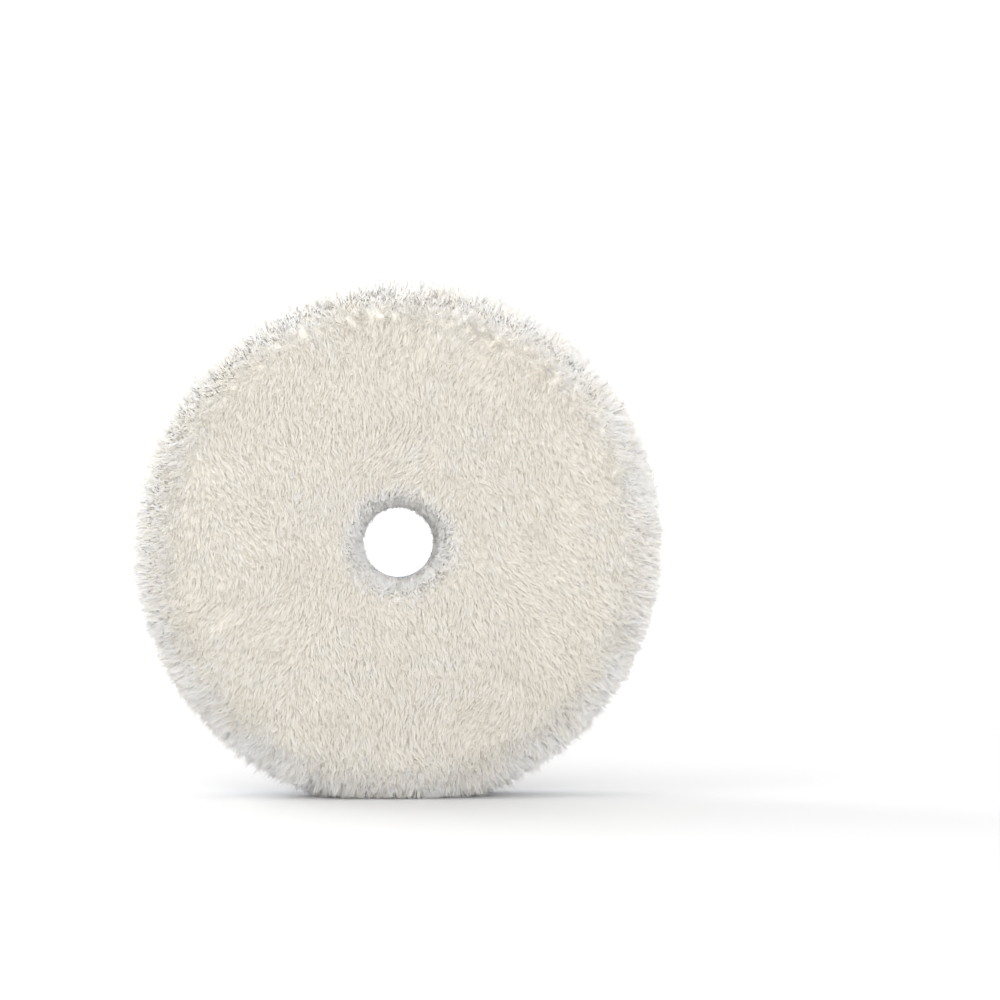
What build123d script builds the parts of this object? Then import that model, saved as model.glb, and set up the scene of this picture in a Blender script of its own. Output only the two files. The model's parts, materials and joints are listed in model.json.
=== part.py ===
from build123d import *
import math
import os

# Wool polishing pad for a random-orbital machine, 150 mm nominal, stood on its rim like a wheel.
# A black loop cloth grips the machine's backing plate, a blue foam interlayer evens out the
# pressure, and a sheepskin with its wool on does the work. Glue films join them into one disc.
#
# Frame: the pad's axis is Y. The origin is on the axis, in the outer face of the loop cloth.
# +Y points out of that face, towards the machine, the wool faces -Y, and +Z is up.
# Every depth below is counted from the loop cloth's outer face, along -Y. Millimetres.

# Layers, from the machine side to the paint side
LOOP_THICKNESS = 1.5
GLUE_THICKNESS = 0.2
FOAM_THICKNESS = 6.2
HIDE_THICKNESS = 1.2
PILE_LENGTH = 19.7

# Radii
HOLE_RADIUS = 11.0
LOOP_RADIUS = 75.0
FOAM_RADIUS_AT_LOOP = 75.2
FOAM_RADIUS_AT_HIDE = 76.2
HIDE_RADIUS = 76.5
PILE_RADIUS = 80.0

# The wool's outline
PILE_ROOT_RADIUS = 77.2  # where the wool leaves the hide's edge
PILE_WIDEST_DEPTH = 15.0  # depth of the wool's largest diameter
CRATER_ROOT_RADIUS = 12.4  # the wool starts this far from the axis, on the hide
CRATER_WALL_RADIUS = 13.2
CRATER_ROUND = 4.5  # the rounded edge between the crater and the working face
FOOT_HEIGHT = 78.0  # the wool is pressed flat this far below the axis, where the pad stands

# White marks printed on the loop cloth
INK_DEPTH = 0.3
EMBLEM_HEIGHT = 31.0  # emblem's centre above the axis
EMBLEM_RADIUS = 12.0
EMBLEM_LINE = 1.4
PETALS = 6
PETAL_LENGTH = 8.4
PETAL_WIDTH = 3.2
PETAL_GAP = 0.8  # from the emblem's centre to each petal's tip
BAR_HEIGHT = 2.6
BAR_GAP = 2.4
UPPER_BARS_DROP = 27.5  # rows' centrelines below the axis
LOWER_BARS_DROP = 34.5
UPPER_BARS = [17.0, 17.0]
LOWER_BARS = [10.0, 15.0, 10.0]

LOOP_GLUE_DEPTH = LOOP_THICKNESS
FOAM_DEPTH = LOOP_GLUE_DEPTH + GLUE_THICKNESS
HIDE_GLUE_DEPTH = FOAM_DEPTH + FOAM_THICKNESS
HIDE_DEPTH = HIDE_GLUE_DEPTH + GLUE_THICKNESS
PILE_DEPTH = HIDE_DEPTH + HIDE_THICKNESS
FACE_DEPTH = PILE_DEPTH + PILE_LENGTH
PILE_EDGE_ROUND = FACE_DEPTH - PILE_WIDEST_DEPTH  # between the rim and the working face


def turned(outline):
    """A solid of revolution about the pad's axis, from a closed outline of (radius, -depth) edges."""
    return revolve(make_face(outline), axis=Axis.Y)


def ring_disc(depth, thickness, outer_radius, far_outer_radius=None):
    """A holed disc that starts at a depth; its rim may taper to another radius at its far side."""
    far = outer_radius if far_outer_radius is None else far_outer_radius
    outline = Polyline(
        (HOLE_RADIUS, -depth),
        (outer_radius, -depth),
        (far, -depth - thickness),
        (HOLE_RADIUS, -depth - thickness),
        close=True,
    )
    return turned(outline)


def on_circle(centre, radius, degrees):
    """The point of a circle at an angle from the radial direction."""
    angle = math.radians(degrees)
    return centre[0] + radius * math.cos(angle), centre[1] + radius * math.sin(angle)


def wool_pile():
    """The wool as one mass: round-edged, with a crater round the hole and a flat foot."""
    root = PILE_ROOT_RADIUS, -PILE_DEPTH
    crater_root = CRATER_ROOT_RADIUS, -PILE_DEPTH

    # From the hide's edge the wool swells out along an arc to its widest.
    swell = PILE_RADIUS - PILE_ROOT_RADIUS
    run = PILE_WIDEST_DEPTH - PILE_DEPTH
    swell_round = (swell**2 + run**2) / (2 * swell)
    swell_centre = PILE_RADIUS - swell_round, -PILE_WIDEST_DEPTH
    swell_angle = math.degrees(math.asin(run / swell_round))

    edge_centre = PILE_RADIUS - PILE_EDGE_ROUND, -PILE_WIDEST_DEPTH
    widest = on_circle(edge_centre, PILE_EDGE_ROUND, 0)
    face_edge = on_circle(edge_centre, PILE_EDGE_ROUND, -90)
    mouth_centre = CRATER_WALL_RADIUS + CRATER_ROUND, CRATER_ROUND - FACE_DEPTH
    crater_mouth = on_circle(mouth_centre, CRATER_ROUND, -90)
    crater_wall = on_circle(mouth_centre, CRATER_ROUND, -180)
    outline = [
        Line(crater_root, root),
        ThreePointArc(root, on_circle(swell_centre, swell_round, swell_angle / 2), widest),
        ThreePointArc(widest, on_circle(edge_centre, PILE_EDGE_ROUND, -45), face_edge),
        Line(face_edge, crater_mouth),
        ThreePointArc(crater_mouth, on_circle(mouth_centre, CRATER_ROUND, -135), crater_wall),
        Line(crater_wall, crater_root),
    ]
    side = 2 * PILE_RADIUS
    floor = Box(side, side, side, align=(Align.CENTER, Align.CENTER, Align.MAX))
    return turned(outline) - Pos(0, 0, -FOOT_HEIGHT) * floor


def inked(shapes):
    """Ink solids of the given flat shapes, sunk into the loop cloth flush with its outer face."""
    return extrude(Plane.XZ * Sketch(children=shapes), amount=INK_DEPTH)


def petal():
    """A pointed petal on the sketch's X axis, its inner tip PETAL_GAP from the centre."""
    inner = (PETAL_GAP, 0)
    outer = (PETAL_GAP + PETAL_LENGTH, 0)
    middle = PETAL_GAP + PETAL_LENGTH / 2
    upper = ThreePointArc(inner, (middle, PETAL_WIDTH / 2), outer)
    lower = ThreePointArc(outer, (middle, -PETAL_WIDTH / 2), inner)
    return make_face([upper, lower])


def emblem_print():
    """A plain rosette in a ring."""
    ring = Circle(EMBLEM_RADIUS) - Circle(EMBLEM_RADIUS - EMBLEM_LINE)
    place = Pos(0, EMBLEM_HEIGHT)
    turns = [Rot(0, 0, 90 + 360 / PETALS * i) for i in range(PETALS)]
    return inked([place * ring] + [place * turn * petal() for turn in turns])


def print_bars(widths, drop):
    """A centred row of plain round-ended bars, below the axis."""
    left = -(sum(widths) + BAR_GAP * (len(widths) - 1)) / 2
    bars = []
    for width in widths:
        bars.append(Pos(left + width / 2, -drop) * SlotOverall(width, BAR_HEIGHT))
        left += width + BAR_GAP
    return inked(bars)


def main():
    inks = {
        "emblem_print": emblem_print(),
        "upper_print_bars": print_bars(UPPER_BARS, UPPER_BARS_DROP),
        "lower_print_bars": print_bars(LOWER_BARS, LOWER_BARS_DROP),
    }
    loop_fabric = ring_disc(0, LOOP_THICKNESS, LOOP_RADIUS)
    for ink in inks.values():
        loop_fabric -= ink
    nodes = {
        "loop_fabric": loop_fabric,
        "loop_adhesive": ring_disc(LOOP_GLUE_DEPTH, GLUE_THICKNESS, LOOP_RADIUS),
        "foam_interlayer": ring_disc(
            FOAM_DEPTH, FOAM_THICKNESS, FOAM_RADIUS_AT_LOOP, FOAM_RADIUS_AT_HIDE
        ),
        "hide_adhesive": ring_disc(HIDE_GLUE_DEPTH, GLUE_THICKNESS, FOAM_RADIUS_AT_HIDE),
        "wool_hide": ring_disc(HIDE_DEPTH, HIDE_THICKNESS, HIDE_RADIUS),
        "wool_pile": wool_pile(),
        **inks,
    }
    os.makedirs("parts", exist_ok=True)
    for name, solid in nodes.items():
        export_step(solid, f"parts/{name}.step")


main()
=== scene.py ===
import json
import math
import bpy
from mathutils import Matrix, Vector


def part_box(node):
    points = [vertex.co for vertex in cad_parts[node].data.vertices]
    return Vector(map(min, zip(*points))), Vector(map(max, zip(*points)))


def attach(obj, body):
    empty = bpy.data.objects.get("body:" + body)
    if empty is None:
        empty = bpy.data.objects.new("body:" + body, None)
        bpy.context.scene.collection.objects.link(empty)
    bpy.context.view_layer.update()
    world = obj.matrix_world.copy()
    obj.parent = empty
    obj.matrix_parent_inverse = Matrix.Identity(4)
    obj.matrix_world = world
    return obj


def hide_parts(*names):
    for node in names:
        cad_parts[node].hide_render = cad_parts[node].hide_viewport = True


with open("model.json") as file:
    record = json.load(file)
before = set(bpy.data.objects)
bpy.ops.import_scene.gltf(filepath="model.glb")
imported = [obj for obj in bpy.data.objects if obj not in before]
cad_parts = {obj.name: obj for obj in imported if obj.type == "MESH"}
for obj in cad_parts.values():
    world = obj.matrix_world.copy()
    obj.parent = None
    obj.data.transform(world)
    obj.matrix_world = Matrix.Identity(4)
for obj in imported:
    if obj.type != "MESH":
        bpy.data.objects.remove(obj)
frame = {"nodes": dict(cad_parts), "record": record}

from types import SimpleNamespace

import bpy
import numpy as np
from bpy.props import FloatProperty, FloatVectorProperty, IntProperty, PointerProperty
from mathutils import Vector

bl_info = {
    "name": "Wool Polishing Pad",
    "version": (1, 0, 0),
    "blender": (4, 5, 0),
    "location": "3D Viewport > Sidebar > Wool Pad",
    "description": "Builds the wool, foam, hide and loop cloth of a polishing pad on its packed frame",
    "category": "Add Mesh",
}

# The pad's axis is Y, the wool faces -Y, the loop cloth faces +Y and the pad stands on its rim.
# Lengths are in metres. A profile is an array of (radius, y) points, turned about the axis.
MM = 0.001
TAU = 2 * math.pi
GOLDEN_ANGLE = math.pi * (3 - math.sqrt(5))
BAKE_LAYER = "OFBake"
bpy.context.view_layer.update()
MOUNTS = {mount["name"]: mount for mount in frame["record"]["mounts"]}
HOLE_RADIUS = MOUNTS["centre_hole"]["dims"]["r_mm"] * MM

LOOP_LOW, LOOP_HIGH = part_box("loop_fabric")
FOAM_LOW, FOAM_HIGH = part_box("foam_interlayer")
HIDE_LOW, HIDE_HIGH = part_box("wool_hide")
PILE_LOW, PILE_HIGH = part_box("wool_pile")
FLOOR = PILE_LOW.z

FACE_Y = PILE_LOW.y
ROOT_Y = PILE_HIGH.y
PILE_RADIUS = PILE_HIGH.x
HIDE_RADIUS = HIDE_HIGH.x
FOAM_RADIUS = FOAM_HIGH.x
LOOP_RADIUS = LOOP_HIGH.x
RIM_START, RIM_FADE = 0.82, 0.14  # where the rim's wool takes over from the face's, in pile radii
TOUCHING = 0.01 * MM  # nearer than this is on the same plane
PRINTED_MARKS = ("emblem_print", "upper_print_bars", "lower_print_bars")


# ---------------------------------------------------------------- settings


class WoolSettings(bpy.types.PropertyGroup):
    edge_round: FloatProperty(
        name="Edge Round", description="Radius of the wool's edge, from rim to working face",
        default=14 * MM, unit="LENGTH",
    )
    root_flare: FloatProperty(
        name="Root Flare", description="How far the wool starts outside the hide's edge",
        default=0.7 * MM, unit="LENGTH",
    )
    crater_root: FloatProperty(
        name="Crater Root", description="Radius where the wool starts on the hide, at the hole",
        default=11.25 * MM, unit="LENGTH",
    )
    crater_wall: FloatProperty(
        name="Crater Wall", description="Radius of the crater round the hole, below its mouth",
        default=13.2 * MM, unit="LENGTH",
    )
    crater_round: FloatProperty(
        name="Crater Round", description="Radius of the rounded edge of the crater's mouth",
        default=4.5 * MM, unit="LENGTH",
    )
    crown: FloatProperty(
        name="Crown", description="How far the working face swells in its middle",
        default=0.6 * MM, unit="LENGTH",
    )
    tuft_gap: FloatProperty(
        name="Tuft Gap", description="Distance between neighbouring tufts of wool",
        default=1.75 * MM, unit="LENGTH",
    )
    fibres_per_tuft: IntProperty(
        name="Fibres per Tuft", description="How many fibres a tuft of wool has",
        default=17,
    )
    fibre_radius: FloatProperty(
        name="Fibre Radius", description="Radius of a lock of fibres where it leaves the underwool",
        default=0.12 * MM, unit="LENGTH",
    )
    softness: FloatProperty(
        name="Softness", description="How far the fibres are shaded as one surface, from 0 to 1",
        default=0.82,
    )
    lean: FloatProperty(
        name="Lean", description="How far a tuft's tip lies over along the surface",
        default=2.6 * MM, unit="LENGTH",
    )
    underwool_depth: FloatProperty(
        name="Underwool Depth", description="How deep the felted underwool lies below the tips",
        default=2.1 * MM, unit="LENGTH",
    )
    cream: FloatVectorProperty(
        name="Cream", description="Colour of the wool on the working face",
        default=(0.955, 0.909, 0.822), subtype="COLOR",
    )
    # White is the whitest random tufts' colour, and painted light too: the rim's and the crater's tufts
    # are pushed towards it.
    white: FloatVectorProperty(
        name="White", description="Colour of the wool's cleanest fibres, at the rim",
        default=(0.97, 0.965, 0.955), subtype="COLOR",
    )
    shade: FloatVectorProperty(
        name="Shade", description="Colour of the darkest tufts",
        default=(0.90, 0.84, 0.74), subtype="COLOR",
    )


class FoamSettings(bpy.types.PropertyGroup):
    cell: FloatProperty(
        name="Cell", description="Size of the foam's open cells",
        default=0.45 * MM, unit="LENGTH",
    )
    cell_depth: FloatProperty(
        name="Cell Depth", description="How deep the cut cells are",
        default=0.14 * MM, unit="LENGTH",
    )
    blue: FloatVectorProperty(
        name="Blue", description="Colour of the foam",
        default=(0.006, 0.10, 0.36), subtype="COLOR",
    )
    # Painted shade: the darker blue that the foam's cells take, for the shade that falls in them.
    painted_cell_shade: FloatVectorProperty(
        name="Deep Blue", description="Colour inside the foam's cells",
        default=(0.003, 0.055, 0.22), subtype="COLOR",
    )


class BackingSettings(bpy.types.PropertyGroup):
    black: FloatVectorProperty(
        name="Black", description="Colour of the loop cloth",
        default=(0.0026, 0.0026, 0.003), subtype="COLOR",
    )
    nap: FloatProperty(
        name="Nap", description="Height of the loop cloth's uneven nap",
        default=0.09 * MM, unit="LENGTH",
    )
    loops: IntProperty(
        name="Loops", description="How many loops stand out of the cloth's nap",
        default=5200,
    )
    frays: IntProperty(
        name="Frays", description="How many cut fibres stick out of the cloth's edges",
        default=2600,
    )
    ink: FloatVectorProperty(
        name="Ink", description="Colour of the printed marks",
        default=(0.70, 0.70, 0.70), subtype="COLOR",
    )


class HideSettings(bpy.types.PropertyGroup):
    waviness: FloatProperty(
        name="Waviness", description="How far the hide's cut edge wanders",
        default=0.22 * MM, unit="LENGTH",
    )
    suede: FloatVectorProperty(
        name="Suede", description="Colour of the hide",
        default=(0.82, 0.79, 0.73), subtype="COLOR",
    )


class GlueSettings(bpy.types.PropertyGroup):
    dark: FloatVectorProperty(
        name="Dark", description="Colour of the film between loop cloth and foam",
        default=(0.006, 0.02, 0.05), subtype="COLOR",
    )
    pale: FloatVectorProperty(
        name="Pale", description="Colour of the film between foam and hide",
        default=(0.55, 0.54, 0.50), subtype="COLOR",
    )


class StageSettings(bpy.types.PropertyGroup):
    azimuth: FloatProperty(
        name="Azimuth", description="Camera's turn round the pad from straight in front",
        default=math.radians(-2.6), subtype="ANGLE",
    )
    elevation: FloatProperty(
        name="Elevation", description="Camera's height above the horizon",
        default=math.radians(0.2), subtype="ANGLE",
    )
    lens: FloatProperty(
        name="Lens", description="Camera's focal length in millimetres", default=100,
    )
    view_width: FloatProperty(
        name="View Width", description="Width of what the camera sees at the pad",
        default=0.3044, unit="LENGTH",
    )
    aim_right: FloatProperty(
        name="Aim Right", description="How far right of the pad's axis the camera aims",
        default=0.0307, unit="LENGTH",
    )
    aim_up: FloatProperty(
        name="Aim Up", description="How far above the pad's axis the camera aims",
        default=0.0133, unit="LENGTH",
    )
    sky: FloatProperty(
        name="Sky", description="Strength of the white light from all round", default=1.28,
    )
    key: FloatProperty(
        name="Key", description="Power of the large lamp above, at the left, in watts", default=5.5,
    )
    fill: FloatProperty(
        name="Fill", description="Power of the large lamp in front, in watts", default=9.5,
    )
    back: FloatProperty(
        name="Back", description="Power of the lamp behind the pad, in watts", default=8,
    )


SETTINGS = {
    "pad_wool": WoolSettings,
    "pad_foam": FoamSettings,
    "pad_backing": BackingSettings,
    "pad_hide": HideSettings,
    "pad_glue": GlueSettings,
    "pad_stage": StageSettings,
}


# ---------------------------------------------------------------- shader maths

# Places of sockets that share their names with others on the same node.
MIX_FIRST, MIX_SECOND, MIX_RESULT = 6, 7, 2  # a Mix node's colour inputs and output
OBJECT_COORDINATES = 3  # a Texture Coordinate node's output


class Socket:
    """A node socket or a plain value that adds Math, Mix or Vector Math nodes when calculated with."""

    def __init__(self, graph, source):
        self.graph = graph
        self.source = source

    def _math(self, operation, other):
        return self.graph.node("ShaderNodeMath", {"operation": operation}, {0: self, 1: other})

    def __add__(self, other):
        return self._math("ADD", other)

    __radd__ = __add__

    def __sub__(self, other):
        return self._math("SUBTRACT", other)

    def __rsub__(self, other):
        return Socket(self.graph, other)._math("SUBTRACT", self)

    def __mul__(self, other):
        return self._math("MULTIPLY", other)

    __rmul__ = __mul__

    def __truediv__(self, other):
        return self._math("DIVIDE", other)

    def __rtruediv__(self, other):
        return Socket(self.graph, other)._math("DIVIDE", self)

    def __pow__(self, other):
        return self._math("POWER", other)

    def __rpow__(self, other):
        return Socket(self.graph, other)._math("POWER", self)

    def between(self, low, high):
        """0 below low, 1 above high and smooth between them."""
        values = {"Value": self, "From Min": low, "From Max": high}
        return self.graph.node("ShaderNodeMapRange", {"interpolation_type": "SMOOTHSTEP"}, values)

    def mixed(self, first, second):
        """first where this is 0 and second where it is 1, as colours."""
        values = {"Factor": self, MIX_FIRST: as_colour(first), MIX_SECOND: as_colour(second)}
        return self.graph.node("ShaderNodeMix", {"data_type": "RGBA"}, values, MIX_RESULT)

    def dimmed(self, share):
        """This colour, darkened to that share."""
        values = {"Factor": 1.0, MIX_FIRST: self, MIX_SECOND: (share, share, share, 1.0)}
        settings = {"data_type": "RGBA", "blend_type": "MULTIPLY"}
        return self.graph.node("ShaderNodeMix", settings, values, MIX_RESULT)

    def scaled(self, x, y, z):
        """This vector, times a number along each axis."""
        values = {0: self, 1: (x, y, z)}
        return self.graph.node("ShaderNodeVectorMath", {"operation": "MULTIPLY"}, values)


def as_colour(value):
    """A colour socket as it is, and a plain colour with its alpha."""
    if isinstance(value, Socket):
        return value
    return (*tuple(value)[:3], 1.0)


def shaded(colour, share):
    """A plain colour, times share."""
    return tuple(share * part for part in colour)


class Graph:
    """A material's node tree, built from expressions."""

    def __init__(self, name):
        self.material = bpy.data.materials.new(name)
        self.material.use_nodes = True
        self.tree = self.material.node_tree
        self.shader = self.tree.nodes["Principled BSDF"]

    def node(self, kind, settings=None, values=None, output=0):
        """Adds a node: its settings first, then its sockets' values or links. Returns an output."""
        made = self.tree.nodes.new(kind)
        for name, value in (settings or {}).items():
            setattr(made, name, value)
        for name, value in (values or {}).items():
            self.feed(made.inputs[name], value)
        return Socket(self, made.outputs[output])

    def feed(self, target, value):
        """Links a socket to a node's input, or sets the input to a plain value."""
        if isinstance(value, Socket) and isinstance(value.source, bpy.types.NodeSocket):
            self.tree.links.new(value.source, target)
        elif isinstance(value, Socket):
            target.default_value = value.source
        else:
            target.default_value = value

    def place(self):
        """The point's place in the pad's own frame, in metres."""
        return self.node("ShaderNodeTexCoord", output=OBJECT_COORDINATES)

    def split(self, vector, *axes):
        """Some of a vector's parts, apart."""
        parts = self.node("ShaderNodeSeparateXYZ", values={0: vector}).source.node
        return [Socket(self, parts.outputs[axis]) for axis in axes]

    def layer(self):
        """The piece's own (u, v), apart, from its UV layer."""
        return self.split(self.node("ShaderNodeUVMap", {"uv_map": BAKE_LAYER}), 0, 1)

    def noise(self, size, detail=2.0, roughness=0.5, place=None):
        """Noise from 0 to 1, in lumps of about that size."""
        values = {
            "Vector": place or self.place(),
            "Scale": 1 / size,
            "Detail": detail,
            "Roughness": roughness,
        }
        return self.node("ShaderNodeTexNoise", values=values)

    def cells(self, size):
        """How far a place is from the middle of its cell."""
        values = {"Vector": self.place(), "Scale": 1 / size}
        return self.node("ShaderNodeTexVoronoi", {"feature": "F1"}, values)

    def bump(self, height, distance, strength=1.0):
        """A normal raised and sunk by height, by at most distance."""
        values = {"Height": height, "Distance": distance, "Strength": strength}
        return self.node("ShaderNodeBump", values=values)

    def finish(self, **sockets):
        """Sets the shader's sockets, named in words joined by _, and returns the material."""
        for name, value in sockets.items():
            self.feed(self.shader.inputs[name.replace("_", " ")], value)
        return self.material


# ---------------------------------------------------------------- materials


def wool_material(wool):
    """Fibres: tone runs along u, from the darkest tufts to the whitest, and root to tip along v."""
    g = Graph("wool_fibre")
    tone, along = g.layer()
    dark = tone.between(0.0, 0.5).mixed(wool.shade, wool.cream)
    body = tone.between(0.5, 1.0).mixed(dark, wool.white)
    root = shaded(wool.cream, 0.97)
    colour = along.between(0.0, 0.75).mixed(root, body)
    return g.finish(
        Base_Color=colour,
        Roughness=0.85,
        Specular_IOR_Level=0.1,
    )


def underwool_material(wool):
    """Matted wool, clumped and streaked, painted whiter at the rim and round the hole against the shade
    there, and dimmed all over with painted shade under the tufts.
    """
    g = Graph("wool_underwool")
    clumps = g.noise(2.2 * MM, 4).between(0.35, 0.7)
    streaks = g.noise(1.2 * MM, 3, place=g.place().scaled(1.0, 1.0, 0.35))
    x, z = g.split(g.place(), 0, 2)
    radius = (x * x + z * z) ** 0.5 / PILE_RADIUS
    at_rim = radius.between(RIM_START, RIM_START + RIM_FADE)
    # Painted light: whiter at the rim and round the hole, to offset the shade in the rim's gaps and in
    # the crater.
    painted_whitening = at_rim + (1 - radius.between(0.18, 0.26))
    body = painted_whitening.mixed(wool.cream, wool.white)
    # Painted shade: the underwool is dimmed to 82 to 92 per cent, the shade that the tufts above it would
    # cast.
    colour = clumps.mixed(body.dimmed(0.82), body.dimmed(0.92))
    height = streaks + clumps * 0.6
    return g.finish(
        Base_Color=colour,
        Roughness=0.95,
        Specular_IOR_Level=0.1,
        Normal=g.bump(height, 0.6 * MM, 0.8),
    )


def foam_material(foam):
    """Cut foam, its open cells darkened with painted shade, in slightly uneven patches."""
    g = Graph("foam_open_cell")
    pores = g.cells(foam.cell).between(0.1, 0.55)
    fine = g.cells(0.4 * foam.cell)
    patch = g.noise(7 * MM, 3).between(0.3, 0.7)
    lit = patch.mixed(shaded(foam.blue, 0.86), foam.blue)
    # Painted shade: the cells' hollows take the darker blue.
    colour = pores.mixed(foam.painted_cell_shade, lit)
    height = pores + fine * 0.5
    return g.finish(
        Base_Color=colour,
        Roughness=0.9,
        Specular_IOR_Level=0.1,
        Normal=g.bump(height, 0.15 * MM, 0.7),
    )


def hide_material(hide):
    """Pale suede with a fine grain and faint stains."""
    g = Graph("hide_suede")
    grain = g.noise(0.35 * MM, 4)
    stain = g.noise(9 * MM, 3).between(0.35, 0.75)
    colour = stain.mixed(hide.suede, shaded(hide.suede, 0.9))
    return g.finish(
        Base_Color=colour,
        Roughness=0.9,
        Specular_IOR_Level=0.2,
        Sheen_Weight=0.3,
        Normal=g.bump(grain, 0.1 * MM, 0.6),
    )


def loop_cloth_material(backing):
    """Black velour: a knit with brushed streaks and paler lint in its nap."""
    g = Graph("loop_cloth_velour")
    knit = g.cells(0.5 * MM)
    nap = g.noise(0.3 * MM, 3)
    brushed = g.noise(6 * MM, 3, place=g.place().scaled(1.0, 1.0, 0.4)).between(0.3, 0.75)
    lint = g.noise(0.45 * MM, 4, 0.7).between(0.42, 0.72)
    pile = brushed.mixed(backing.black, shaded(backing.black, 1.6))
    colour = lint.mixed(pile, shaded(backing.black, 4.0))
    return g.finish(
        Base_Color=colour,
        Roughness=0.95,
        Specular_IOR_Level=0.03,
        Normal=g.bump(knit * 0.6 + nap, 0.12 * MM, 0.8),
    )


def loop_fibre_material(backing):
    """The loops' and cut fibres' black, each a little lighter or darker."""
    g = Graph("loop_cloth_fibre")
    tone, _ = g.layer()
    colour = tone.mixed(backing.black, shaded(backing.black, 5))
    return g.finish(
        Base_Color=colour,
        Roughness=0.8,
        Specular_IOR_Level=0.08,
    )


def ink_material(backing):
    """White ink that the nap breaks up."""
    g = Graph("printed_ink")
    nap = g.noise(0.28 * MM, 3)
    worn = g.noise(0.5 * MM, 4, 0.7).between(0.3, 0.5)
    colour = worn.mixed(shaded(backing.ink, 0.6), backing.ink)
    return g.finish(
        Base_Color=colour,
        Roughness=0.6,
        Specular_IOR_Level=0.3,
        Normal=g.bump(nap, 0.06 * MM, 0.6),
    )


def glue_material(name, colour):
    """A streaky film of hot-melt glue."""
    g = Graph(name)
    streaks = g.noise(1.5 * MM, 3).between(0.3, 0.7)
    tint = streaks.mixed(shaded(colour, 0.8), colour)
    return g.finish(
        Base_Color=tint,
        Roughness=0.45,
        Normal=g.bump(streaks, 0.04 * MM, 0.5),
    )


def floor_material():
    """Pale floor round the pad, and white far from it."""
    g = Graph("studio_floor")
    x, y = g.split(g.place(), 0, 1)
    radius = (x * x + y * y) ** 0.5
    grain = g.noise(0.3, 3).between(0.3, 0.7)
    near = grain.mixed((0.61, 0.61, 0.61), (0.63, 0.63, 0.63))
    colour = radius.between(0.25, 0.9).mixed(near, (0.97, 0.97, 0.97))
    return g.finish(
        Base_Color=colour,
        Roughness=0.7,
        Specular_IOR_Level=0.2,
    )


# ---------------------------------------------------------------- mesh helpers


# Large odd numbers that scramble a cell's whole-number place into a fixed random number.
CELL_HASH = (374761393, 668265263, 1442695041)
SEED_HASH = 362437
LAST_HASH = 1274126177
LOW_32_BITS = 0xFFFFFFFF
LOW_16_BITS = 0xFFFF


def lattice(cells, seed):
    """A fixed random number from -1 to 1 for each whole-number cell."""
    mixed = cells[..., 0] * CELL_HASH[0] + cells[..., 1] * CELL_HASH[1] + cells[..., 2] * CELL_HASH[2]
    mixed = (mixed + seed * SEED_HASH) & LOW_32_BITS
    mixed = ((mixed ^ (mixed >> 13)) * LAST_HASH) & LOW_32_BITS
    return ((mixed ^ (mixed >> 16)) & LOW_16_BITS) / (LOW_16_BITS / 2) - 1


def smooth_noise(points, size, seed):
    """Smooth noise from -1 to 1 at each point, in lumps of about that size."""
    scaled = np.asarray(points) / size
    cell = np.floor(scaled).astype(np.int64)
    share = scaled - cell
    share = share * share * (3 - 2 * share)
    total = np.zeros(scaled.shape[:-1])
    for corner in np.ndindex(2, 2, 2):
        weight = np.prod(np.where(corner, share, 1 - share), axis=-1)
        total += weight * lattice(cell + np.array(corner), seed)
    return total


def ramp(values, start, width):
    """0 up to start, 1 past start + width and straight between them."""
    return np.clip((values - start) / width, 0, 1)


def unit(vectors):
    """The vectors, each of length 1."""
    return vectors / np.maximum(np.linalg.norm(vectors, axis=-1, keepdims=True), 1e-12)


def arc(centre, radius, start, end, count):
    """Points of an arc, as (radius, y), between two angles in degrees."""
    angle = np.radians(np.linspace(start, end, count))
    return np.stack([centre[0] + radius * np.cos(angle), centre[1] + radius * np.sin(angle)], axis=1)


def spaced(profile, step):
    """The profile again, with points about step apart and its corners kept."""
    made = []
    for a, b in zip(profile[:-1], profile[1:]):
        count = max(1, round(float(np.linalg.norm(b - a)) / step))
        made.append(a + (b - a) * (np.arange(count) / count)[:, None])
    made.append(profile[-1:])
    return np.concatenate(made)


def turned(profile, steps):
    """(rings, steps, 3) points of a profile turned about the pad's axis, and their outward normals."""
    angle = np.arange(steps) / steps * TAU
    around = np.stack([np.cos(angle), np.zeros(steps), np.sin(angle)], axis=1)
    axis = np.array([0.0, 1.0, 0.0])
    points = profile[:, 0, None, None] * around + profile[:, 1, None, None] * axis
    ahead = np.roll(profile, -1, axis=0) - np.roll(profile, 1, axis=0)
    side = unit(np.stack([ahead[:, 1], -ahead[:, 0]], axis=1))
    normals = side[:, 0, None, None] * around + side[:, 1, None, None] * axis
    return points, normals


def mesh_piece(name, points, corners, sides, layer, material, normals=None):
    """A smooth mesh piece from its points, its faces' corners in one row and its UV layer."""
    mesh = bpy.data.meshes.new(name)
    faces = len(corners) // sides
    mesh.vertices.add(len(points))
    mesh.vertices.foreach_set("co", points.astype(np.float32).ravel())
    mesh.loops.add(len(corners))
    mesh.loops.foreach_set("vertex_index", corners.astype(np.int32))
    mesh.polygons.add(faces)
    mesh.polygons.foreach_set("loop_start", np.arange(faces, dtype=np.int32) * sides)
    mesh.polygons.foreach_set("use_smooth", np.ones(faces, bool))
    uv = mesh.uv_layers.new(name=BAKE_LAYER)
    uv.data.foreach_set("uv", layer.astype(np.float32).ravel())
    mesh.update(calc_edges=True)
    mesh.validate()
    if normals is not None:
        soft = mesh.attributes.new("custom_normal", "FLOAT_VECTOR", "POINT")
        soft.data.foreach_set("vector", normals.astype(np.float32).ravel())
    mesh.materials.append(material)
    piece = bpy.data.objects.new(name, mesh)
    bpy.context.scene.collection.objects.link(piece)
    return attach(piece, "root")


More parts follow.
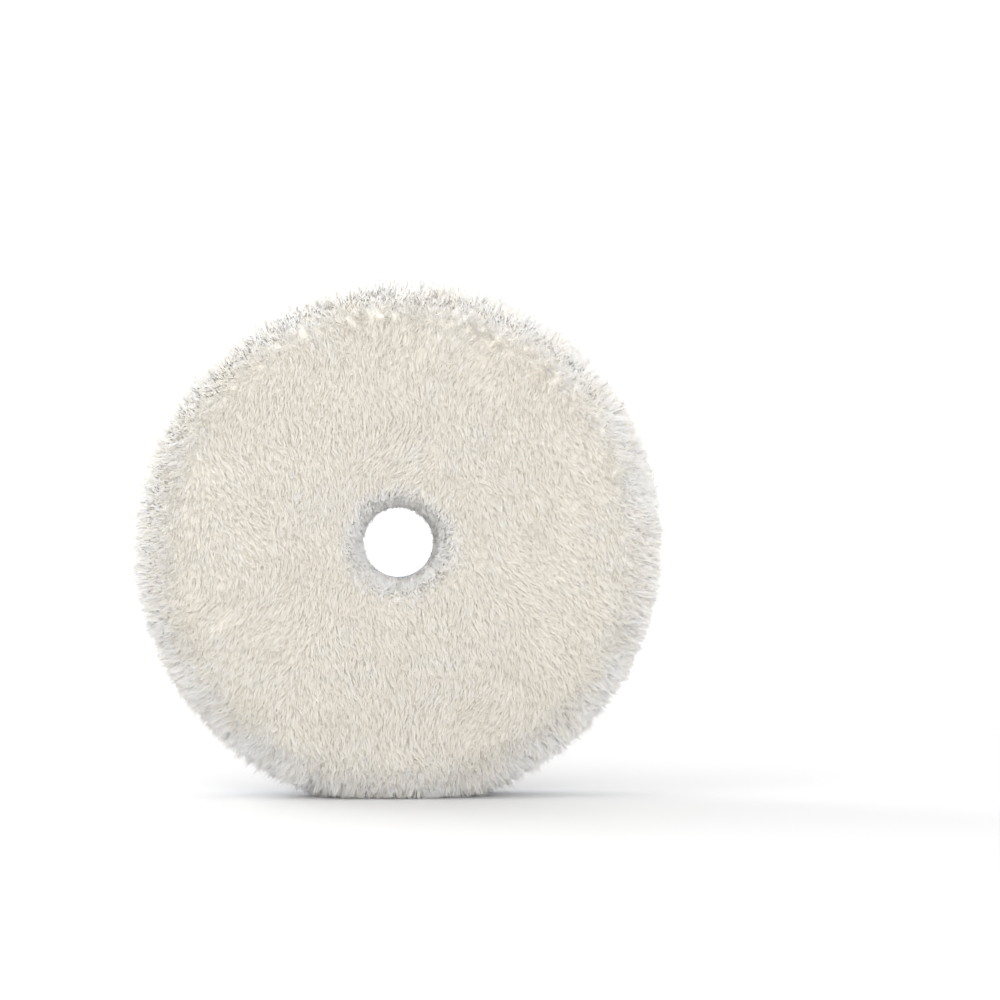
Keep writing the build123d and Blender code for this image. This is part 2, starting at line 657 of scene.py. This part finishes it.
def ring_piece(name, points, material):
    """A closed piece from (rings, steps, 3) points, joined round both ways."""
    rings, steps = points.shape[:2]
    ring, step = np.meshgrid(np.arange(rings), np.arange(steps), indexing="ij")
    next_ring, next_step = (ring + 1) % rings, (step + 1) % steps
    corners = np.stack([
        ring * steps + step,
        next_ring * steps + step,
        next_ring * steps + next_step,
        ring * steps + next_step,
    ], axis=-1)
    u = np.stack([step, step, step + 1, step + 1], axis=-1) / steps
    v = np.stack([ring, ring + 1, ring + 1, ring], axis=-1) / rings
    layer = np.stack([u, v], axis=-1)
    flat = points.reshape(-1, 3)
    return mesh_piece(name, flat, corners.reshape(-1), 4, layer.reshape(-1, 2), material)


STRAND_SIDES = 3
STRAND_PLACES = np.array([0.0, 0.4, 0.75])  # rings along a strand, before its tip
STRAND_WIDTHS = np.array([1.0, 0.9, 0.55])


def strand_corners():
    """The triangles of one tapered strand: its closed foot, its sides and its tip."""
    rings = len(STRAND_PLACES)
    tip = rings * STRAND_SIDES
    faces = [(0, 2, 1)]
    for side in range(STRAND_SIDES):
        after = (side + 1) % STRAND_SIDES
        for ring in range(rings - 1):
            low, high = ring * STRAND_SIDES, (ring + 1) * STRAND_SIDES
            faces.append((low + side, low + after, high + after))
            faces.append((low + side, high + after, high + side))
        last = (rings - 1) * STRAND_SIDES
        faces.append((last + side, last + after, tip))
    return np.array(faces)


def strand_mesh(starts, bends, ends, radii, tones, sway, facing=None, softness=0.0):
    """Points, corners, layer and normals of tapered three-sided strands along quadratic curves.

    The normals turn towards facing by softness, so that a mass of strands is shaded as one.
    """
    count = len(starts)
    places = np.append(STRAND_PLACES, 1.0)[None, :, None]
    a, b, c = starts[:, None], bends[:, None], ends[:, None]
    line = (1 - places) ** 2 * a + 2 * places * (1 - places) * b + places**2 * c
    line = line + sway * (places * (1 - 0.4 * places))
    along = unit(np.gradient(line, axis=1))
    helper = np.where(np.abs(along[..., 1:2]) > 0.8, [1.0, 0.0, 0.0], [0.0, 1.0, 0.0])
    across = unit(np.cross(along, helper))
    other = np.cross(along, across)
    angle = np.arange(STRAND_SIDES) / STRAND_SIDES * TAU
    rings = len(STRAND_PLACES)
    width = radii[:, None, None, None] * STRAND_WIDTHS[None, :, None, None]
    turn = np.cos(angle)[:, None] * across[:, :rings, None]
    turn = turn + np.sin(angle)[:, None] * other[:, :rings, None]
    tube = line[:, :rings, None] + width * turn
    points = np.concatenate([tube.reshape(count, -1, 3), line[:, -1:]], axis=1)
    each = points.shape[1]
    faces = strand_corners()
    corners = np.arange(count)[:, None, None] * each + faces
    height = np.append(np.repeat(STRAND_PLACES, STRAND_SIDES), 1.0)
    u = np.broadcast_to(tones[:, None], (count, each))
    layer = np.stack([u, np.broadcast_to(height, (count, each))], axis=-1).reshape(-1, 2)
    normals = None
    if facing is not None:
        own = np.concatenate([turn.reshape(count, -1, 3), along[:, -1:]], axis=1)
        normals = unit((1 - softness) * own + softness * facing[:, None]).reshape(-1, 3)
    return points.reshape(-1, 3), corners.reshape(-1), layer[corners.reshape(-1)], normals


# ---------------------------------------------------------------- wool

ZONES = ("crater", "face", "rim")
MOST_STRANDS = 12000  # in one piece
FORWARD = np.array([0.0, -1.0, 0.0])
CRATER_REACH, CRATER_FADE = 7 * MM, 6 * MM  # how far past its wall the crater's tufts reach
REAR_DEPTH, FRONT_FADE = 4 * MM, 9 * MM  # how far in front of the hide a tuft is lit from the front


def wool_profile(wool):
    """The wool's outer line from the hole's edge of the hide to the hide's rim, over the face."""
    mouth = np.array([wool.crater_wall + wool.crater_round, FACE_Y + wool.crater_round])
    crater = arc(mouth, wool.crater_round, 180, 270, 9)
    edge_centre = np.array([PILE_RADIUS - wool.edge_round, FACE_Y + wool.edge_round])
    face_radius = np.linspace(crater[-1, 0], edge_centre[0], 40)[1:-1]
    across = (face_radius - face_radius[0]) / (face_radius[-1] - face_radius[0])
    face = np.stack([face_radius, FACE_Y - wool.crown * np.sin(math.pi * across)], axis=1)
    edge = arc(edge_centre, wool.edge_round, -90, 0, 16)
    root_radius = HIDE_RADIUS + wool.root_flare
    swell, run = PILE_RADIUS - root_radius, ROOT_Y - edge_centre[1]
    round_off = (swell**2 + run**2) / (2 * swell)
    turn = math.degrees(math.asin(run / round_off))
    rim = arc((PILE_RADIUS - round_off, edge_centre[1]), round_off, 0, turn, 8)[1:]
    start = np.array([[wool.crater_root, ROOT_Y]])
    return np.concatenate([start, crater, face, edge, rim])


def pressed(points, seed):
    """Points below the floor are laid on it, and spread a little as the wool splays."""
    below = np.maximum(FLOOR - points[..., 2], 0)
    ruffle = 0.25 * MM * (1 + smooth_noise(points, 1.1 * MM, seed))
    made = points.copy()
    made[..., 0] += np.sign(points[..., 0]) * below * 0.35
    made[..., 1] += np.sign(points[..., 1] - (FACE_Y + ROOT_Y) / 2) * below * 0.3
    made[..., 2] = np.where(below > 0, FLOOR + ruffle * (below < 2.5 * MM), points[..., 2])
    return made


def make_underwool(wool):
    """The felted mass that the tufts stand in: the wool's outline, set back and lumpy."""
    outer = spaced(wool_profile(wool), 0.9 * MM)
    steps = 560
    points, normals = turned(outer, steps)
    back = np.linspace(outer[-1], outer[0], 60)[1:-1]
    lumps = 0.6 * smooth_noise(points, 2.0 * MM, 3) + 0.4 * smooth_noise(points, 0.9 * MM, 4)
    rim = ramp(outer[:, :1] / PILE_RADIUS, RIM_START, RIM_FADE)
    depth = wool.underwool_depth * (1 - 0.3 * rim) + 0.6 * MM * lumps
    edge = np.minimum(np.arange(len(outer)), np.arange(len(outer))[::-1])
    depth = depth * np.clip(edge / 2.5, 0.05, 1)[:, None]
    points = points - normals * depth[..., None]
    points[..., 1] = np.minimum(points[..., 1], ROOT_Y)
    hidden, _ = turned(back, steps)
    shape = pressed(np.concatenate([points, hidden]), 5)
    piece = ring_piece("wool_underwool", shape, underwool_material(wool))
    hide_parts("wool_pile")


def spots(profile, gap, rng):
    """Scattered places on a turned profile, denser at the rim: (radius, y), outward way and angle."""
    length = np.linalg.norm(np.diff(profile, axis=0), axis=1)
    middle = (profile[1:] + profile[:-1]) / 2
    crowd = 1 + 0.5 * ramp(middle[:, 0] / PILE_RADIUS, 0.8, 0.1)
    area = np.concatenate([[0], np.cumsum(TAU * middle[:, 0] * length * crowd)])
    count = int(area[-1] / (gap * gap * math.sqrt(3) / 2))
    wanted = (np.arange(count) + 0.5 + rng.uniform(-0.45, 0.45, count)) / count * area[-1]
    index = np.clip(np.searchsorted(area, wanted) - 1, 0, len(length) - 1)
    share = (wanted - area[index]) / (area[index + 1] - area[index])
    place = profile[index] + (profile[index + 1] - profile[index]) * share[:, None]
    ahead = unit(profile[index + 1] - profile[index])
    out = np.stack([ahead[:, 1], -ahead[:, 0]], axis=1)
    angle = np.arange(count) * GOLDEN_ANGLE + rng.normal(0, 0.012, count)
    return place, out, angle


def about_axis(flat, angle):
    """(radius, y) pairs at their angles round the pad's axis, as (x, y, z)."""
    return np.stack([flat[:, 0] * np.cos(angle), flat[:, 1], flat[:, 0] * np.sin(angle)], axis=1)


def comb(points):
    """Which way the tufts lie on the face: mostly down, with slow swirls."""
    turn = 0.75 * smooth_noise(points, 26 * MM, 11) + 0.5 * smooth_noise(points, 9 * MM, 12)
    return np.stack([np.sin(turn), np.zeros(len(turn)), -np.cos(turn)], axis=1)


def tuft_places(wool, rng):
    """The tufts: their places, which way they face and grow, and how far each is of a zone."""
    profile = spaced(wool_profile(wool), 0.5 * MM)
    flat, out, angle = spots(profile, wool.tuft_gap, rng)
    count = len(flat)
    place, normal = about_axis(flat, angle), about_axis(out, angle)

    # A fibre grows from the hide, so it splays outwards near the rim and inwards at the hole.
    root_radius = np.clip(flat[:, 0], wool.crater_root, HIDE_RADIUS)
    root = about_axis(np.stack([root_radius, np.full(count, ROOT_Y)], axis=1), angle)
    return SimpleNamespace(
        count=count,
        place=place,
        normal=normal,
        angle=angle,
        outward=about_axis(np.tile([1.0, 0.0], (count, 1)), angle),
        grow=unit(unit(place - root) + 0.9 * normal),
        rim=ramp(flat[:, 0], RIM_START * PILE_RADIUS, RIM_FADE * PILE_RADIUS)[:, None],
        crater=np.clip((wool.crater_wall + CRATER_REACH - flat[:, 0]) / CRATER_FADE, 0, 1)[:, None],
        front=np.clip((ROOT_Y - REAR_DEPTH - flat[:, 1]) / FRONT_FADE, 0, 1)[:, None],
    )


def tuft_lie(tufts, rng):
    """Which way each tuft lies along the surface, and how far, in leans."""
    rim, crater = tufts.rim, tufts.crater
    lie = 0.9 * comb(tufts.place) * (1 - rim) ** 2 + 0.5 * tufts.outward * rim**2
    lie = lie * (1 - 0.8 * crater) - 0.4 * tufts.outward * crater
    lie = lie + 0.75 * crater * FORWARD
    clumps = np.stack([smooth_noise(tufts.place, 4.2 * MM, 13 + i) for i in range(3)], axis=1)
    lie = lie + (0.2 + 0.2 * rim) * clumps + rng.normal(0, 0.16, (tufts.count, 3))
    return lie - (lie * tufts.normal).sum(1, keepdims=True) * tufts.normal


def tuft_lift(tufts, rng):
    """How far each tuft's tip stands out of the wool's outline, longer and less even at the rim."""
    rim, crater = tufts.rim[:, 0], tufts.crater[:, 0]
    heave = smooth_noise(tufts.place, 3.2 * MM, 17)
    uneven = rng.normal(0, 0.25 + 0.1 * rim, tufts.count)
    lift = (0.5 + 1.1 * rim + (0.15 + 0.45 * rim) * heave + uneven) * MM
    short = (0.3 + 1.1 * rng.uniform(0, 1, tufts.count) ** 1.5) * MM
    return (lift * (1 - crater) + short * crater)[:, None]


def tuft_tone(tufts, rng):
    """Each tuft's tone in patches, and whiter at the rim and in the crater as painted light: a painted
    highlight on the rim, painted lightening against the crater's shade.
    """
    patches = 0.1 * smooth_noise(tufts.place, 5 * MM, 21) + 0.12 * smooth_noise(tufts.place, 13 * MM, 22)
    tone = 0.5 + patches + rng.normal(0, 0.08, tufts.count)
    # Painted light: the rim's tufts are pushed towards white as a painted highlight, and the crater's as
    # painted lightening against the shade that falls in it.
    return tone[:, None] + 0.34 * tufts.rim + 0.45 * tufts.crater


def tuft_strands(wool, rng):
    """Every strand of wool, as arrays: its line, radius, tone and sway, and where it belongs."""
    tufts = tuft_places(wool, rng)
    place, rim, crater = tufts.place, tufts.rim, tufts.crater
    count, each = tufts.count, wool.fibres_per_tuft
    lie = tuft_lie(tufts, rng)
    tip = place + wool.lean * lie + tuft_lift(tufts, rng) * tufts.normal
    start = place - (wool.underwool_depth + 1.3 * MM) * (1 - 0.4 * crater) * tufts.grow
    bend = place - 0.35 * MM * tufts.grow + 0.12 * wool.lean * lie
    tone = tuft_tone(tufts, rng)

    side = unit(np.cross(tufts.grow, tufts.outward + 0.3 * tufts.normal + 0.01))
    other = np.cross(tufts.grow, side)
    turn = rng.uniform(0, TAU, (count, each, 1))
    reach = np.sqrt(rng.uniform(0, 1, (count, each, 1)))
    spread = reach * (np.cos(turn) * side[:, None] + np.sin(turn) * other[:, None])
    loose = rng.normal(0, 1, (count, each, 3))
    chance = rng.uniform(0, 1, (count, each, 1))
    stray = 0.55 + 0.8 * chance + 0.8 * rim[:, None] * chance**7
    starts = start[:, None] + 1.25 * MM * spread
    bends = bend[:, None] + 1.05 * MM * spread + 0.12 * MM * loose
    ends = place[:, None] + (tip - place)[:, None] * stray + 0.62 * MM * spread + 0.3 * MM * loose
    for line_points in (bends, ends):  # none lies over the foam
        line_points[..., 1] = ROOT_Y - np.abs(ROOT_Y - line_points[..., 1])

    radii = wool.fibre_radius * rng.uniform(0.65, 1.15, (count, each))
    tones = tone + rng.normal(0, 0.06, (count, each))
    sway = 0.22 * MM * rng.normal(0, 1, (count, each, 3))
    lit_from_front = ((1.2 * tufts.front + 0.1) * rim + 1.4 * crater) * FORWARD
    scatter = 0.12 * rng.normal(0, 1, (count, each, 3))
    facing = unit((tufts.normal + lit_from_front)[:, None] + scatter)
    inner_zone = np.where(crater > 0.5, ZONES.index("crater"), ZONES.index("face"))
    zone = np.where(rim > 0.02, ZONES.index("rim"), inner_zone)
    return SimpleNamespace(
        starts=starts.reshape(-1, 3),
        bends=bends.reshape(-1, 3),
        ends=ends.reshape(-1, 3),
        radii=radii.ravel(),
        tones=np.clip(tones.ravel(), 0.01, 0.99),
        sway=sway.reshape(-1, 1, 3),
        facing=facing.reshape(-1, 3),
        angle=np.repeat(np.degrees(tufts.angle) % 360, each),
        zone=np.repeat(zone[:, 0], each),
    )


def make_tufts(wool):
    """The wool's tufts, in pieces by zone and by sector round the pad."""
    all_strands = tuft_strands(wool, np.random.default_rng(41))
    material = wool_material(wool)
    for number, label in enumerate(ZONES):
        inside = all_strands.zone == number
        parts = math.ceil(inside.sum() / MOST_STRANDS)
        order = np.argsort(all_strands.angle[inside], kind="stable")
        for part, chosen in enumerate(np.array_split(np.flatnonzero(inside)[order], parts)):
            points, corners, layer, normals = strand_mesh(
                all_strands.starts[chosen], all_strands.bends[chosen], all_strands.ends[chosen],
                all_strands.radii[chosen], all_strands.tones[chosen], all_strands.sway[chosen],
                all_strands.facing[chosen], wool.softness,
            )
            name = f"wool_{label}_tufts_{part + 1}"
            mesh_piece(name, pressed(points, 6), corners, 3, layer, material, normals)


# ---------------------------------------------------------------- foam, hide and loop cloth


def make_foam(foam):
    """The foam disc, its cut rim and bore pitted by open cells and its glued faces plain."""
    fine_step, plain_step = 0.34 * MM, 8 * MM
    profile = np.array([
        [HOLE_RADIUS, FOAM_HIGH.y],
        [LOOP_RADIUS + 0.2 * MM, FOAM_HIGH.y],
        [FOAM_RADIUS, FOAM_LOW.y],
        [HOLE_RADIUS, FOAM_LOW.y],
    ])
    rim = spaced(profile[1:3], fine_step)
    bore = spaced(np.stack([profile[3], profile[0]]), fine_step)
    across = spaced(profile[:2], plain_step)[1:-1]
    under = spaced(profile[2:], plain_step)[1:-1]
    stretches = (across, rim, under, bore)
    outline = np.concatenate(stretches)[::-1]
    points, normals = turned(outline, 1400)
    shown = np.repeat([0.0, 1.0, 0.0, 1.0], [len(stretch) for stretch in stretches])[::-1]
    pits = smooth_noise(points, foam.cell, 31) + 0.6 * smooth_noise(points, 0.5 * foam.cell, 32)
    depth = foam.cell_depth * (0.5 + np.clip(pits, -1, 1)) * shown[:, None]
    waves = 0.1 * MM * smooth_noise(points, 14 * MM, 33) * shown[:, None]
    points = points - unit(normals) * (np.abs(depth) + waves)[..., None]
    points[..., 1] = np.clip(points[..., 1], FOAM_LOW.y, FOAM_HIGH.y)
    piece = ring_piece("foam_disc", points, foam_material(foam))
    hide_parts("foam_interlayer")


def disc_outline(radius, low, high, step):
    """The square outline of a flat disc with the pad's hole, with points about step apart."""
    profile = np.array([
        [HOLE_RADIUS, high],
        [radius, high],
        [radius, low],
        [HOLE_RADIUS, low],
        [HOLE_RADIUS, high],
    ])
    return spaced(profile, step)[:-1]


def make_hide(hide):
    """The hide, with a hand-cut edge that wanders a little."""
    outline = disc_outline(HIDE_RADIUS, HIDE_LOW.y, HIDE_HIGH.y, 0.3 * MM)
    keep = (outline[:, 0] > HIDE_RADIUS - 1.5 * MM) | (outline[:, 0] < HOLE_RADIUS + 2 * MM)
    keep |= np.arange(len(outline)) % 12 == 0
    points, _ = turned(outline[keep][::-1], 900)
    across = points * np.array([1.0, 0.0, 1.0])
    radial = unit(across)
    wander = hide.waviness * smooth_noise(across, 7 * MM, 41)
    rough = 0.08 * MM * smooth_noise(points, 0.6 * MM, 42)
    outer = (np.linalg.norm(radial * points, axis=-1) > 0.5 * HIDE_RADIUS) * 1.0
    points = points + radial * (wander * outer + rough)[..., None]
    edge = smooth_noise(points, 0.9 * MM, 43) * 0.05 * MM
    points[..., 1] = np.clip(points[..., 1] + edge, HIDE_LOW.y, HIDE_HIGH.y)
    piece = ring_piece("hide_disc", points, hide_material(hide))
    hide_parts("wool_hide")
    area = math.pi * (HIDE_RADIUS**2 - HOLE_RADIUS**2)


def make_loop_cloth(backing):
    """The loop cloth, its face uneven with nap."""
    outline = disc_outline(LOOP_RADIUS, LOOP_LOW.y, LOOP_HIGH.y, 0.62 * MM)
    spare = (outline[:, 1] < LOOP_LOW.y + TOUCHING) & (np.arange(len(outline)) % 16 > 0)
    outline = outline[~spare][::-1]
    points, _ = turned(outline, 620)
    fuzz = 0.6 * smooth_noise(points, 0.8 * MM, 51) + 0.4 * smooth_noise(points, 2.5 * MM, 52)
    radius = np.linalg.norm(points[..., [0, 2]], axis=-1)
    corner = np.clip(1 - (LOOP_RADIUS - radius) / (0.9 * MM), 0, 1) ** 2
    sunk = backing.nap * (0.75 + 0.6 * fuzz) + 0.35 * MM * corner
    face = points[..., 1] > LOOP_HIGH.y - TOUCHING
    points[..., 1] -= np.where(face, sunk, 0)
    piece = ring_piece("loop_cloth", points, loop_cloth_material(backing))
    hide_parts("loop_fabric")
    rng = np.random.default_rng(61)
    fibre = loop_fibre_material(backing)
    area = math.pi * (LOOP_RADIUS**2 - HOLE_RADIUS**2)
    make_loops(backing.loops, fibre, rng)
    make_frays(backing.frays, fibre, rng)


def inked(x, z, margin):
    """Whether each point of the loop face is in or near a printed mark's box."""
    near = np.zeros(len(x), bool)
    for node in PRINTED_MARKS:
        low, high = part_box(node)
        near_x = (x > low.x - margin) & (x < high.x + margin)
        near |= near_x & (z > low.z - margin) & (z < high.z + margin)
    return near


def make_loops(count, material, rng):
    """Loops that stand out of the loop cloth's face, clear of the printed marks."""
    inner, outer = HOLE_RADIUS + 0.4 * MM, LOOP_RADIUS - 0.5 * MM
    radius = np.sqrt(rng.uniform(inner**2, outer**2, count))
    angle = rng.uniform(0, TAU, count)
    x, z = radius * np.cos(angle), radius * np.sin(angle)
    free = ~inked(x, z, 0.3 * MM)
    x, z = x[free], z[free]
    count = len(x)
    turn = rng.uniform(0, TAU, count)
    reach = rng.uniform(0.25, 0.6, count) * MM
    foot = np.stack([x, np.full(count, LOOP_HIGH.y - 0.25 * MM), z], axis=1)
    side = np.stack([np.cos(turn), np.zeros(count), np.sin(turn)], axis=1) * reach[:, None]
    rise = np.array([0.0, 1.0, 0.0]) * rng.uniform(0.35, 0.75, (count, 1)) * MM
    points, corners, layer, _ = strand_mesh(
        foot - side, foot + rise, foot + side, np.full(count, 0.045 * MM), rng.uniform(0.05, 0.95, count),
        0.1 * MM * rng.normal(0, 1, (count, 1, 3)),
    )
    return mesh_piece("loop_cloth_loops", points, corners, 3, layer, material)


def make_frays(count, material, rng):
    """Cut fibres that stick out of the loop cloth's rim and of its hole's edge."""
    angle = rng.uniform(0, TAU, count)
    outer = rng.uniform(0, 1, count) < LOOP_RADIUS / (LOOP_RADIUS + HOLE_RADIUS)
    edge = np.where(outer, LOOP_RADIUS, HOLE_RADIUS)
    way = np.where(outer, 1.0, -1.0)[:, None]
    out = about_axis(np.tile([1.0, 0.0], (count, 1)), angle) * way
    height = rng.uniform(LOOP_LOW.y, LOOP_HIGH.y - 0.1 * MM, count)
    start = about_axis(np.stack([edge, height], axis=1), angle)
    reach = rng.uniform(0.25, 0.8, (count, 1)) * MM
    bends = start + 0.5 * reach * out + 0.1 * MM * rng.normal(0, 1, (count, 3))
    ends = start + reach * out + 0.22 * MM * rng.normal(0, 1, (count, 3))
    ends[:, 1] = np.minimum(ends[:, 1], LOOP_HIGH.y)
    points, corners, layer, _ = strand_mesh(
        start - 0.2 * MM * out, bends, ends, np.full(count, 0.035 * MM), rng.uniform(0.05, 0.95, count),
        0.05 * MM * rng.normal(0, 1, (count, 1, 3)),
    )
    return mesh_piece("loop_cloth_frays", points, corners, 3, layer, material)


def dress(node, material):
    """Gives a CAD node its finish."""
    slots = frame["nodes"][node].data.materials
    slots.clear()
    slots.append(material)


def dress_inks(backing):
    """The printed marks' ink."""
    material = ink_material(backing)
    for node in PRINTED_MARKS:
        dress(node, material)


def dress_glue(glue):
    """The glue films' finish."""
    dress("loop_adhesive", glue_material("glue_film_dark", glue.dark))
    dress("hide_adhesive", glue_material("glue_film_pale", glue.pale))


# ---------------------------------------------------------------- stage


FLOOR_STEPS = 96
FLOOR_RADII = (0.3, 1.2, 5.0)  # of the floor's rings, in metres
LAMPS = {  # each lamp's place and diameter, in metres
    "key": ((-0.85, -0.4, 1.0), 0.9),
    "fill": ((0.2, -1.6, 0.4), 1.2),
    "back": ((-0.95, 0.55, 0.6), 0.8),
}


def make_floor():
    """A wide round floor that fades into the white all round."""
    steps, radii = FLOOR_STEPS, FLOOR_RADII
    angle = np.arange(steps) / steps * TAU
    x = np.concatenate([radius * np.cos(angle) for radius in radii])
    y = np.concatenate([radius * np.sin(angle) for radius in radii])
    points = np.stack([x, y, np.full(len(x), FLOOR)], axis=1)
    faces = [tuple(range(steps))]
    for ring in range(len(radii) - 1):
        for step in range(steps):
            after = (step + 1) % steps
            a, b = ring * steps, (ring + 1) * steps
            faces.append((a + step, b + step, b + after, a + after))
    mesh = bpy.data.meshes.new("studio_floor")
    mesh.from_pydata([tuple(p) for p in points], [], faces)
    mesh.materials.append(floor_material())
    floor = bpy.data.objects.new("studio_floor", mesh)
    bpy.context.scene.collection.objects.link(floor)


def make_lamp(name, place, aim, size, power):
    """A round area lamp, aimed at a point."""
    data = bpy.data.lights.new(name, "AREA")
    data.shape = "DISK"
    data.size = size
    data.energy = power
    made = bpy.data.objects.new(name, data)
    made.location = place
    made.rotation_euler = (Vector(aim) - Vector(place)).to_track_quat("-Z", "Y").to_euler()
    bpy.context.scene.collection.objects.link(made)


def make_lights(stage):
    """White light from all round, and the lamps."""
    world = bpy.data.worlds.new("studio_white")
    world.use_nodes = True
    world.node_tree.nodes["Background"].inputs["Color"].default_value = (1, 1, 1, 1)
    world.node_tree.nodes["Background"].inputs["Strength"].default_value = stage.sky
    bpy.context.scene.world = world
    bpy.context.scene.view_settings.view_transform = "Standard"
    middle = (0.0, (FACE_Y + ROOT_Y) / 2, 0.0)
    for name, (place, size) in LAMPS.items():
        make_lamp(f"lamp_{name}", place, middle, size, getattr(stage, name))


def make_camera(stage):
    """The camera, turned and raised about its aim in the wool's face."""
    data = bpy.data.cameras.new("camera")
    data.lens = stage.lens
    camera = bpy.data.objects.new("camera", data)
    aim = Vector((stage.aim_right, FACE_Y, stage.aim_up))
    turn, rise = stage.azimuth, stage.elevation
    back = Vector((math.sin(turn) * math.cos(rise), -math.cos(turn) * math.cos(rise), math.sin(rise)))
    camera.location = aim + back * (stage.view_width * stage.lens / data.sensor_width)
    camera.rotation_euler = (-back).to_track_quat("-Z", "Y").to_euler()
    bpy.context.scene.collection.objects.link(camera)
    bpy.context.scene.camera = camera


# ---------------------------------------------------------------- operators


class PAD_OT_underwool(bpy.types.Operator):
    """Build the felted mass under the tufts"""

    bl_idname = "pad.underwool"
    bl_label = "Underwool"

    def execute(self, context):
        make_underwool(context.scene.pad_wool)
        return {"FINISHED"}


class PAD_OT_tufts(bpy.types.Operator):
    """Build the tufts of wool on the face, the rim and the crater"""

    bl_idname = "pad.tufts"
    bl_label = "Wool Tufts"

    def execute(self, context):
        make_tufts(context.scene.pad_wool)
        return {"FINISHED"}


class PAD_OT_foam(bpy.types.Operator):
    """Build the foam interlayer"""

    bl_idname = "pad.foam"
    bl_label = "Foam"

    def execute(self, context):
        make_foam(context.scene.pad_foam)
        return {"FINISHED"}


class PAD_OT_hide(bpy.types.Operator):
    """Build the hide that carries the wool"""

    bl_idname = "pad.hide"
    bl_label = "Hide"

    def execute(self, context):
        make_hide(context.scene.pad_hide)
        return {"FINISHED"}


class PAD_OT_loop_cloth(bpy.types.Operator):
    """Build the loop cloth with its nap, loops and frayed edges"""

    bl_idname = "pad.loop_cloth"
    bl_label = "Loop Cloth"

    def execute(self, context):
        make_loop_cloth(context.scene.pad_backing)
        return {"FINISHED"}


class PAD_OT_inks(bpy.types.Operator):
    """Give the printed marks their ink"""

    bl_idname = "pad.inks"
    bl_label = "Printed Marks"

    def execute(self, context):
        dress_inks(context.scene.pad_backing)
        return {"FINISHED"}


class PAD_OT_glue(bpy.types.Operator):
    """Give the glue films their finish"""

    bl_idname = "pad.glue"
    bl_label = "Glue Films"

    def execute(self, context):
        dress_glue(context.scene.pad_glue)
        return {"FINISHED"}


class PAD_OT_stage(bpy.types.Operator):
    """Build the floor, the lamps and the camera"""

    bl_idname = "pad.stage"
    bl_label = "Stage"

    def execute(self, context):
        make_floor()
        make_lights(context.scene.pad_stage)
        make_camera(context.scene.pad_stage)
        return {"FINISHED"}


OPERATORS = (
    PAD_OT_stage,
    PAD_OT_underwool,
    PAD_OT_tufts,
    PAD_OT_foam,
    PAD_OT_hide,
    PAD_OT_loop_cloth,
    PAD_OT_inks,
    PAD_OT_glue,
)


class PAD_PT_sidebar(bpy.types.Panel):
    """Lists the pad's pieces in the 3D view's sidebar"""

    bl_idname = "PAD_PT_sidebar"
    bl_label = "Wool Pad"
    bl_space_type = "VIEW_3D"
    bl_region_type = "UI"
    bl_category = "Wool Pad"

    def draw(self, context):
        for operator in OPERATORS:
            self.layout.operator(operator.bl_idname)


CLASSES = (*SETTINGS.values(), *OPERATORS, PAD_PT_sidebar)


def register():
    for each in CLASSES:
        bpy.utils.register_class(each)
    for name, group in SETTINGS.items():
        setattr(bpy.types.Scene, name, PointerProperty(type=group))


def unregister():
    for name in SETTINGS:
        delattr(bpy.types.Scene, name)
    for each in reversed(CLASSES):
        bpy.utils.unregister_class(each)


def main():
    register()
    for operator in OPERATORS:
        space, name = operator.bl_idname.split(".")
        getattr(getattr(bpy.ops, space), name)()


if __name__ == "__main__":
    main()
